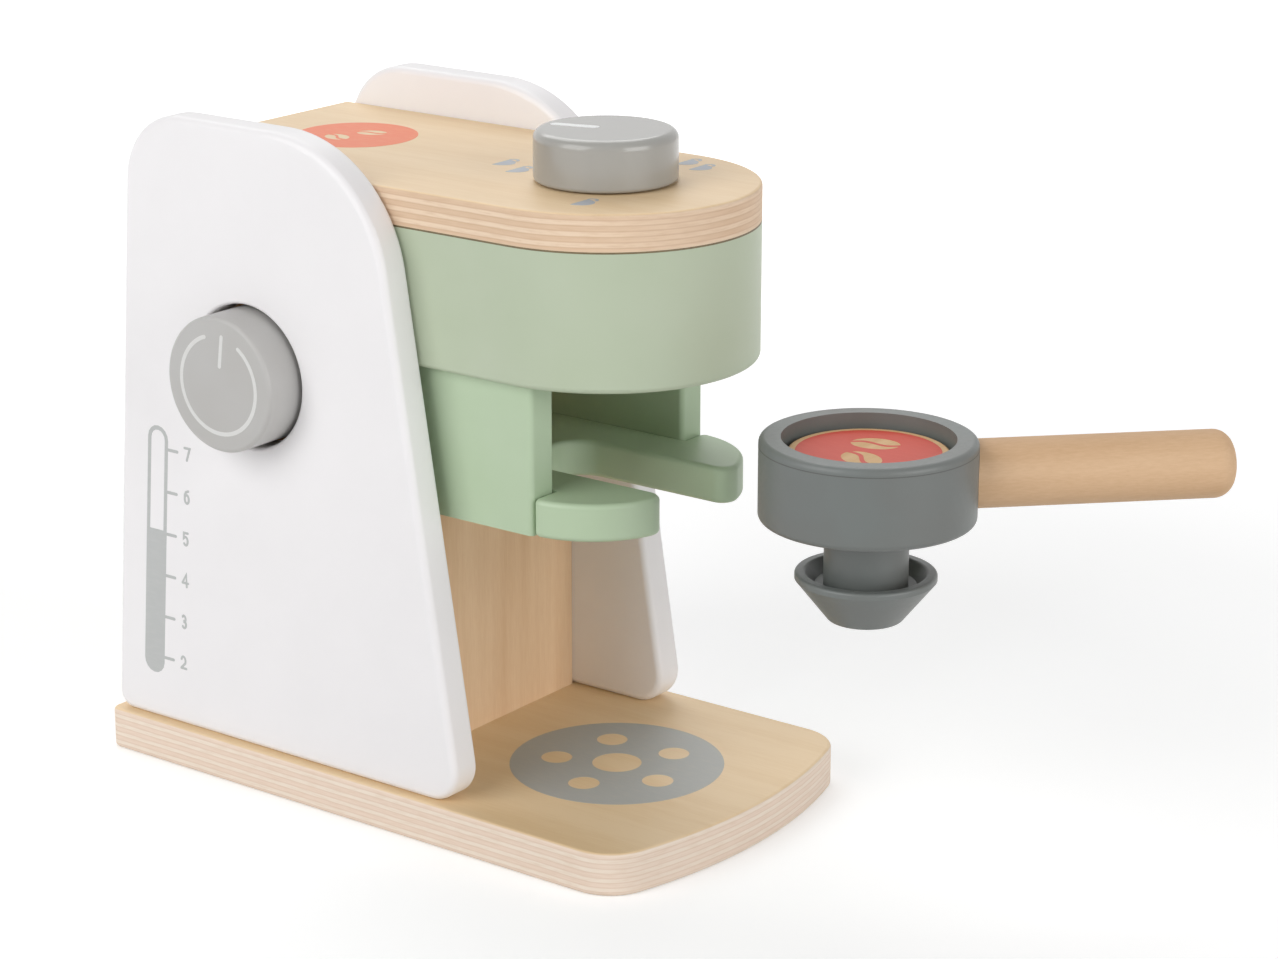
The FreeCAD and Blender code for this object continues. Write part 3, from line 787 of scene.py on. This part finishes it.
@dataclass
class Housing:
    """The boards, panels, head, cheeks and forked shelf, with a painted shadow line in the seam under the top board.

    Attributes:
        base_thickness: the base board's thickness.
        base_layers: its number of veneers.
        top_underside: z of the top board's underside.
        top_thickness: its thickness.
        top_layers: its number of veneers.
        board_half: half the top board's width.
        front_centre: y of the middle of its round front.
        back: y of its rear edge.
        seam_z: z of the seam between board and head.
        seam_height: how tall the painted shadow line in the seam is.
    """

    base_thickness: float = 12.0
    base_layers: int = 9
    top_underside: float = 167.0
    top_thickness: float = 10.0
    top_layers: int = 7
    board_half: float = 41.4
    front_centre: float = -44.4
    back: float = 0.0
    seam_z: float = 166.95
    seam_height: float = 0.5

    def seam(self, material: Material) -> Object:
        """Makes the painted shadow, a dark line where the head meets the top board.

        Args:
            material: its finish.

        Returns:
            The painted shadow line, a narrow band round the boards' front.
        """
        reach = self.board_half + LINE_LIFT
        front = arc((0.0, self.front_centre), reach, 180, 360, 96)
        path = [(-reach, self.back)] + front + [(reach, self.back)]
        return shadow_line("head_seam_shadow", path, self.seam_z, self.seam_height, material, "housing")

    def build(self) -> None:
        """Dresses the boards and makes the painted shadow line in the seam."""
        # Birch plywood, sanded and clear lacquered: pale face, striped edges.
        dress(["base_board"], Plywood("birch_plywood_base", 0.0, self.base_thickness, self.base_layers).build())
        dress(["top_board"], Plywood("birch_plywood_top", self.top_underside, self.top_thickness, self.top_layers,
                                     long_grain="#edd5bb", end_grain="#dfc1a3", glue="#cfac8b").build())
        # Satin water-based paint on sanded plywood: even and slightly soft, with a faint roller texture.
        white = Paint("satin_white_paint", "#f4f2f3", "#f2f0f1", Sheen.SATIN).build()
        head_green = Paint("satin_sage_head", "#b9c4ac", "#b5c1a7", Sheen.SATIN).build()
        bracket_green = Paint("satin_sage_bracket", "#b7caac", "#b3c7a7", Sheen.SATIN).build()
        dress(["left_side_panel", "right_side_panel"], white)
        dress(["head_block"], head_green)
        dress(["left_cheek", "right_cheek", "fork_plate"], bracket_green)
        # Sliced softwood veneer with upright fibres, unpainted and matte.
        veneer = SolidWood("sliced_pine_veneer", "#f0d1ad", "#e2bd95", Grain.ALONG_Z, band=6.0,
                           fibre=(6.0, 0.5)).build()
        dress(["partition_panel", "rear_panel"], veneer)
        # Turned beech, bare: short dark pores along the fibres.
        beech = SolidWood("turned_beech_pegs", "#d6ae80", "#b98d60", Grain.ALONG_X, band=4.0).build()
        dress(["side_dowels", "bracket_dowels", "button_retainer", "button_stem", "button_guide", "stop_sleeve"],
              beech)
        # Zinc-plated steel: the small fastenings and the spring shine a little.
        steel = ZincSteel().build()
        dress(["base_screws", "knob_spindle", "knob_washer", "knob_nut", "button_spring", "filter_screw"], steel)
        # Painted shadow of the open joint: a dark brown line, quite matte.
        self.seam(InkAndShade("joint_shade", "#75684a", "#5f5338").build())


@dataclass
class DripGratePrint:
    """The round grate printed on the base board, with bare wood spots.

    Attributes:
        base_top: z of the base board's top.
        centre: its middle.
        radius: its radius.
        middle_spot: radius of the spot in its middle.
        ring_spot: radius of a spot in the ring.
        ring_spots: how many there are.
        ring_radius: their distance from the middle.
        ring_start: angle of the first one.
    """

    base_top: float = 12.0
    centre: Point = (0.2, -47.7)
    radius: float = 29.9
    middle_spot: float = 6.9
    ring_spot: float = 4.35
    ring_spots: int = 5
    ring_radius: float = 17.3
    ring_start: float = 41.5

    def build(self) -> None:
        """Prints the grate."""
        # Warm grey pad-print ink: thin and matte, with the board's fibres faintly in it.
        ink = InkAndShade("warm_grey_ink", "#aeb0ae", "#b6b5b0").build()
        holes = [circle(self.centre, self.middle_spot, 40)]
        for k in range(self.ring_spots):
            angle = math.radians(self.ring_start + 360 / self.ring_spots * k)
            spot = (self.centre[0] + self.ring_radius * math.cos(angle),
                    self.centre[1] + self.ring_radius * math.sin(angle))
            holes.append(circle(spot, self.ring_spot, 32))
        Face((0, 0, self.base_top)).print_film("drip_grate_print", [[circle(self.centre, self.radius)] + holes],
                                               ink, "housing")


@dataclass
class TopBoardPrints:
    """The red disc with two beans and the small cups on the top board.

    Attributes:
        board_top: z of the board's top.
        disc_centre: middle of the disc.
        disc_radius: its radius.
        bean: the shape of a bean.
        beans: each bean's middle, from the disc's, and its angle.
        cup: the shape of a cup.
        cups: each cup's middle.
    """

    board_top: float = 177.0
    disc_centre: Point = (5.0, 47.6)
    disc_radius: float = 17.4
    bean: BeanShape = BeanShape(8.6, 6.4, 0.9)
    beans: tuple[tuple[Point, float], ...] = (((-5.2, 2.6), 70.0), ((5.0, -1.4), 115.0))
    cup: CupIcon = CupIcon()
    cups: tuple[Point, ...] = ((-25.3, -57.3), (0.8, -10.3), (-4.2, -18.9), (31.0, -49.5), (27.5, -56.5))

    def build(self) -> None:
        """Prints the disc and the cups."""
        # Pad-print ink: thin and matte, with the board's fibres faintly in it.
        grey = InkAndShade("blue_grey_ink", "#adb3bb", "#b9bcbf").build()
        red = InkAndShade("brick_red_ink", "#ea774b", "#eb8a5e").build()
        board = Face((0, 0, self.board_top))
        x, y = self.disc_centre
        holes = [half for (u, v), angle in self.beans for half in self.bean.halves((x + u, y + v), angle)]
        board.print_film("bean_disc_print", [[circle(self.disc_centre, self.disc_radius)] + holes], red, "housing")
        for number, centre in enumerate(self.cups, 1):
            board.print_film(f"cup_print_{number}", self.cup.shapes(centre), grey, "housing")


@dataclass
class WaterGauge:
    """The numbered water gauge printed on the left panel: a leaning capsule with a filling.

    Attributes:
        panel_x: x of the panel's outer face.
        top: y and z of the upper end of the capsule's centre line.
        foot: y and z of the lower end.
        width: the capsule's width.
        line: width of its outline.
        level: z of the filling's top.
        numbers: the lowest and the highest number.
        first_mark: z of the lowest mark.
        mark_gap: height between two marks.
        mark_inset: how far inside the capsule's edge a mark starts.
        mark_length: a mark's length between its round ends.
        mark_line: its width.
        digit_start: where a digit's box starts, from the start of its mark.
        digit_size: width and height of that box.
        digit_line: width of a digit's strokes.
    """

    panel_x: float = -51.5
    top: Point = (73.8, 100.5)
    foot: Point = (79.6, 25.8)
    width: float = 7.7
    line: float = 1.25
    level: float = 69.6
    numbers: tuple[int, int] = (2, 7)
    first_mark: float = 31.1
    mark_gap: float = 12.58
    mark_inset: float = 0.2
    mark_length: float = 3.8
    mark_line: float = 0.9
    digit_start: float = 6.6
    digit_size: Point = (2.3, 3.6)
    digit_line: float = 0.72

    def centre_y(self, z: float) -> float:
        """y of the capsule's centre line at a height."""
        (top_y, top_z), (foot_y, foot_z) = self.top, self.foot
        return top_y + (foot_y - top_y) * (top_z - z) / (top_z - foot_z)

    def capsule(self, panel: Face, ink: Material) -> None:
        """Prints the capsule's outline and its filling.

        Args:
            panel: the panel's face, on which u runs to the front.
            ink: the ink.
        """
        ends = [Vector((-y, z)) for y, z in (self.top, self.foot)]
        lean = (ends[1] - ends[0]).normalized()
        upper, lower = tuple(ends[0] + lean * (self.width / 2)), tuple(ends[1] - lean * (self.width / 2))
        bore = self.width - self.line - self.line
        outer, inner = stroke([upper, lower], self.width), stroke([upper, lower], bore)
        panel.print_film("gauge_outline_print", [[outer, inner]], ink, "housing")

        # The filling is the bore's round lower end, its points in order round a place 1 mm over its middle, and the
        # two ends of the water line.
        low_end = sorted((p for p in inner if p[1] < self.level),
                         key=lambda p: math.atan2(p[1] - lower[1] - 1.0, p[0] - lower[0]))
        across = bore / 2 / abs(lean.y)
        left, right = ((-self.centre_y(self.level) + side * across, self.level) for side in (-1, 1))
        panel.print_film("gauge_water_print", [[[left] + low_end + [right]]], ink, "housing", 1)

    def scale(self, panel: Face, ink: Material) -> None:
        """Prints the marks and their numbers.

        Args:
            panel: the panel's face, on which u runs to the front.
            ink: the ink.
        """
        marks, digits = [], []
        first, last = self.numbers
        wide, high = self.digit_size
        for number in range(first, last + 1):
            z = self.first_mark + (number - first) * self.mark_gap
            start = -self.centre_y(z) + self.width / 2 - self.mark_inset
            marks.append([stroke([(start, z), (start + self.mark_length, z)], self.mark_line)])
            for path in DIGITS[number]:
                placed = [(start + self.digit_start + wide * u, z - high / 2 + high * v) for u, v in path]
                digits.append([stroke(placed, self.digit_line)])
        panel.print_film("gauge_marks_print", marks, ink, "housing", 2)
        panel.print_film("gauge_numbers_print", digits, ink, "housing")

    def build(self) -> None:
        """Prints the gauge."""
        # Pale grey pad-print ink on the white paint: thin and matte.
        ink = InkAndShade("pale_grey_ink", "#bcbebd", "#c2c3c2").build()
        panel = Face((self.panel_x, 0, 0), (0, -1, 0), (0, 0, 1))
        self.capsule(panel, ink)
        self.scale(panel, ink)


@dataclass
class BrewKnob:
    """The round grey knob on the top board.

    Attributes:
        axis: x and y of its axis.
        top: z of its top.
        pointer: angle of its white line, anticlockwise from +x.
        line: where the line starts and ends, from the axis.
        line_width: its width.
    """

    axis: Point = (0.0, -44.4)
    top: float = 191.0
    pointer: float = 106.0
    line: Point = (3.4, 14.2)
    line_width: float = 3.0

    def build(self) -> None:
        """Dresses the knob and prints its line."""
        # Sprayed gloss grey, its peel broad and very shallow: a soft highlight runs round the rim.
        dress(["brew_knob"], Paint("gloss_grey_knob", "#a3a29d", "#a09e99", Sheen.GLOSS, peel=9.0,
                                   relief=0.004, coat=0.2).build())
        # White pad-print ink.
        ink = InkAndShade("white_ink", "#f2f3f2", "#eeefee").build()
        path = [(r * math.cos(math.radians(self.pointer)), r * math.sin(math.radians(self.pointer)))
                for r in self.line]
        Face((*self.axis, self.top)).print_film("knob_line_print", [[stroke(path, self.line_width)]], ink, "knob")


@dataclass
class PowerButton:
    """The round push button in the left panel.

    Attributes:
        face_x: x of its face.
        axis: y and z of its axis.
        ring: radius of the symbol's ring.
        gap: half the ring's gap, as an angle.
        bar: where the bar starts and ends over the axis.
        line_width: width of the symbol's lines.
        lean: how far the symbol leans to the front.
        travel: how far the button goes in; not used.
    """

    face_x: float = -62.3
    axis: Point = (39.6, 120.4)
    ring: float = 13.6
    gap: float = 27.0
    bar: Point = (5.4, 13.8)
    line_width: float = 1.15
    lean: float = 7.5
    travel: float = 4.0

    def symbol(self, ink: Material) -> Object:
        """Prints the plain power symbol.

        Args:
            ink: the ink.

        Returns:
            The print.
        """
        face = Face((self.face_x, *self.axis), (0, -1, 0), (0, 0, 1))
        open_ring = arc((0.0, 0.0), self.ring, 90 - self.gap, -270 + self.gap, 64)
        lines = [open_ring, [(0.0, v) for v in self.bar]]
        shapes = [[stroke(turned(path, -self.lean), self.line_width)] for path in lines]
        return face.print_film("power_symbol_print", shapes, ink, "button")

    def spring(self) -> Object:
        """Makes the return spring as a copy of the frame's spring.

        Returns:
            The spring, its inner end held by the guide.
        """
        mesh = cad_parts["button_spring"].data.copy()
        coil = bpy.data.objects.new("return_spring", mesh)
        bpy.context.scene.collection.objects.link(coil)
        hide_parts("button_spring")
        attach(coil, "housing")
        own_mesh(coil)
        return coil

    def build(self) -> None:
        """Dresses the button, prints its symbol and makes its spring."""
        # Satin light grey with fine spray texture.
        dress(["power_button"], Paint("satin_grey_button", "#bcbbb9", "#b8b6b3", Sheen.SATIN).build())
        # Near-white pad-print ink.
        self.symbol(InkAndShade("pale_symbol_ink", "#dcdcda", "#d8d7d4").build())
        self.spring()


@dataclass
class FilterHolder:
    """The loose filter holder: round cup, spout under it and turned handle.

    Attributes:
        axis: x and y of the cup's axis.
        cup_radius: the cup's outer radius.
        groove_z: z of the groove under the rim.
        groove_height: the height of the painted shadow line in the groove.
    """

    axis: Point = (0.0, -128.5)
    cup_radius: float = 28.2
    groove_z: float = 119.0
    groove_height: float = 0.3

    def build(self) -> None:
        """Dresses the holder's parts and makes a painted shadow for the groove, a thin dark line round the cup."""
        # Satin warm grey with a fine texture; the same on cup and spout.
        grey = Paint("satin_warm_grey", "#6e7371", "#6b6c69", Sheen.SATIN, relief=0.006).build()
        dress(["filter_cup", "filter_spout"], grey)
        # Bare turned beech, its fibres along the handle.
        dress(["filter_handle"], SolidWood("turned_beech_handle", "#dab792", "#c8a27b", Grain.ALONG_Y, turn=-45.0,
                                           band=9.0, fibre=(2.6, 0.45)).build())
        # Painted shadow of the groove: a line a little darker than the paint, quite matte.
        shade = InkAndShade("groove_shade", "#5b5d5a", "#535451").build()
        shadow_line("cup_groove_shadow", circle(self.axis, self.cup_radius + LINE_LIFT, 128), self.groove_z,
                  self.groove_height, shade, "portafilter", closed=True)


@dataclass
class CoffeePad:
    """The loose wooden disc with its red print.

    Attributes:
        axis: x and y of its middle.
        top: z of its top.
        print_radius: radius of the red field.
        bean: the shape of a bean.
        beans: each bean's middle, from the axis, and its angle.
    """

    axis: Point = (0.0, -128.5)
    top: float = 117.45
    print_radius: float = 18.8
    bean: BeanShape = BeanShape(13.0, 9.6, 1.3)
    beans: tuple[tuple[Point, float], ...] = (((-6.4, -2.0), 62.0), ((6.6, 2.2), 108.0))

    def build(self) -> None:
        """Dresses the pad and prints its beans."""
        # Thin sawn birch disc, sanded.
        dress(["coffee_pad"], SolidWood("sawn_birch_disc", "#dfba8b", "#cfa472", Grain.ALONG_X, band=4.0).build())
        # Brick red screen-print ink.
        red = InkAndShade("pad_red_ink", "#c83511", "#cd4020").build()
        holes = [half for centre, angle in self.beans for half in self.bean.halves(centre, angle)]
        Face((*self.axis, self.top)).print_film("pad_bean_print", [[circle((0.0, 0.0), self.print_radius)] + holes],
                                                red, "pad")


@dataclass(frozen=True)
class SoftBox:
    """A square soft box that looks at the object.

    Attributes:
        name: the lamp's name.
        place: where it stands, in metres.
        size: its side in metres.
        share: how bright it makes a white card at the object that faces it, where 1 is full white.
    """

    name: str
    place: Place
    size: float
    share: float

    def build(self, aim: Vector) -> None:
        """Makes the lamp.

        Args:
            aim: the place that it looks at, in metres.
        """
        away = Vector(self.place) - aim
        data = bpy.data.lights.new(self.name, "AREA")
        data.size = self.size
        data.energy = self.share * math.pi ** 2 * away.length_squared
        lamp = bpy.data.objects.new(self.name, data)
        lamp.location = self.place
        lamp.rotation_euler = away.to_track_quat("Z", "Y").to_euler()
        bpy.context.scene.collection.objects.link(lamp)


@dataclass
class Studio:
    """A pale floor, soft light from the upper left and the camera.

    Attributes:
        location: the camera's place.
        right: the picture's right in the frame.
        up: the picture's up in the frame.
        lens: focal length.
        sensor: the sensor's width.
        clip: nearest and farthest distance that the camera sees, in metres.
        ambient: how much the surroundings light the object.
        floor_colour: the floor's colour.
        floor_radius: its radius in metres.
        floor_drop: how far it lies under the object, in metres.
        floor_glow: what the camera sees added on the floor, at the object and far from it.
        glow_reach: distances from the object between which that goes from one to the other, in metres.
        aim: the place that the lamps look at, in metres.
        lamps: the soft boxes.
    """

    location: Place = (-686.90, -567.58, 364.52)
    right: Place = (0.59805, -0.80146, 0.00118)
    up: Place = (0.23890, 0.17968, 0.95427)
    lens: float = 93.811
    sensor: float = 36.0
    clip: Point = (0.01, 50.0)
    ambient: float = 0.17
    floor_colour: str = "#dedede"
    floor_radius: float = 8.0
    floor_drop: float = 0.0002
    floor_glow: Point = (0.45, 0.95)
    glow_reach: Point = (0.3, 1.1)
    aim: Place = (0.0, -0.03, 0.1)
    lamps: tuple[SoftBox, ...] = (SoftBox("key_softbox", (-1.7, 0.45, 1.0), 1.6, 0.68),
                                  SoftBox("front_softbox", (-0.1, -2.0, 0.5), 1.4, 0.58),
                                  SoftBox("top_softbox", (0.9, 1.0, 1.7), 1.6, 0.42))

    def camera(self) -> None:
        """Makes the camera at the photograph's viewing angle."""
        right, up = Vector(self.right).normalized(), Vector(self.up).normalized()
        back = right.cross(up).normalized()
        data = bpy.data.cameras.new("camera")
        data.sensor_width, data.lens = self.sensor, self.lens
        data.clip_start, data.clip_end = self.clip
        camera = bpy.data.objects.new("camera", data)
        turn = Matrix((right, back.cross(right), back)).transposed()
        camera.matrix_world = Matrix.Translation(Vector(self.location) * MM) @ turn.to_4x4()
        bpy.context.scene.collection.objects.link(camera)
        bpy.context.scene.camera = camera

    def seen_directly(self, tree: NodeTree) -> NodeSocket:
        """One where the camera, a gloss or glass looks at it, and zero for the light it gives.

        Args:
            tree: the node tree.

        Returns:
            The factor.
        """
        rays = add_node(tree, "LightPath")
        first = add_node(tree, "Math", {0: rays.outputs["Is Camera Ray"],
                                        1: rays.outputs["Is Glossy Ray"]}, operation="MAXIMUM")
        return add_node(tree, "Math", {0: first.outputs["Value"],
                                       1: rays.outputs["Is Transmission Ray"]},
                        operation="MAXIMUM").outputs["Value"]

    def world(self) -> None:
        """Makes the even white surroundings."""
        world = bpy.data.worlds.new("studio")
        bpy.context.scene.world = world
        world.use_nodes = True
        tree = world.node_tree
        tree.nodes.clear()
        level = add_node(tree, "MapRange", {"Value": self.seen_directly(tree), "To Min": self.ambient,
                                            "To Max": WHITE_LEVEL})
        light = add_node(tree, "Background", {"Color": (1, 1, 1, 1), "Strength": level.outputs["Result"]})
        add_node(tree, "OutputWorld", {"Surface": light.outputs["Background"]})

    def floor(self) -> None:
        """Makes the floor, a wide matte disc just under the base, which takes the object's shadow."""
        material, tree = fresh_material("pale_floor")
        paint = add_node(tree, "BsdfDiffuse", {"Color": linear(self.floor_colour)})
        place = add_node(tree, "TexCoord").outputs["Object"]
        away = add_node(tree, "VectorMath", {0: place}, operation="LENGTH")
        spread = add_node(tree, "MapRange", {"Value": away.outputs["Value"],
                                             "From Min": self.glow_reach[0], "From Max": self.glow_reach[1],
                                             "To Min": self.floor_glow[0], "To Max": self.floor_glow[1]})
        level = add_node(tree, "Math", {0: self.seen_directly(tree), 1: spread.outputs["Result"]},
                         operation="MULTIPLY")
        glow = add_node(tree, "Emission", {"Color": (1, 1, 1, 1), "Strength": level.outputs["Value"]})
        both = add_node(tree, "AddShader", {0: paint.outputs["BSDF"], 1: glow.outputs["Emission"]})
        close_material(tree, both.outputs["Shader"])
        shape = bmesh.new()
        bmesh.ops.create_circle(shape, cap_ends=True, segments=96, radius=self.floor_radius)
        mesh = bpy.data.meshes.new("floor")
        shape.to_mesh(mesh)
        shape.free()
        mesh.materials.append(material)
        floor = bpy.data.objects.new("floor", mesh)
        floor.location.z = -self.floor_drop
        bpy.context.scene.collection.objects.link(floor)

    def build(self) -> None:
        """Sets up the whole studio."""
        bpy.context.scene.view_settings.view_transform = "Standard"
        self.camera()
        self.world()
        self.floor()
        for lamp in self.lamps:
            lamp.build(Vector(self.aim))


def main() -> None:
    """Builds the scene and reports each sub-assembly."""
    logging.basicConfig(level=logging.INFO, format="%(name)s: %(message)s")
    for part in (Studio(), Housing(), DripGratePrint(), TopBoardPrints(), WaterGauge(), BrewKnob(), PowerButton(),
                 FilterHolder(), CoffeePad()):
        part.build()
        log.info("%s is done", type(part).__name__)


if __name__ == "__main__":
    main()
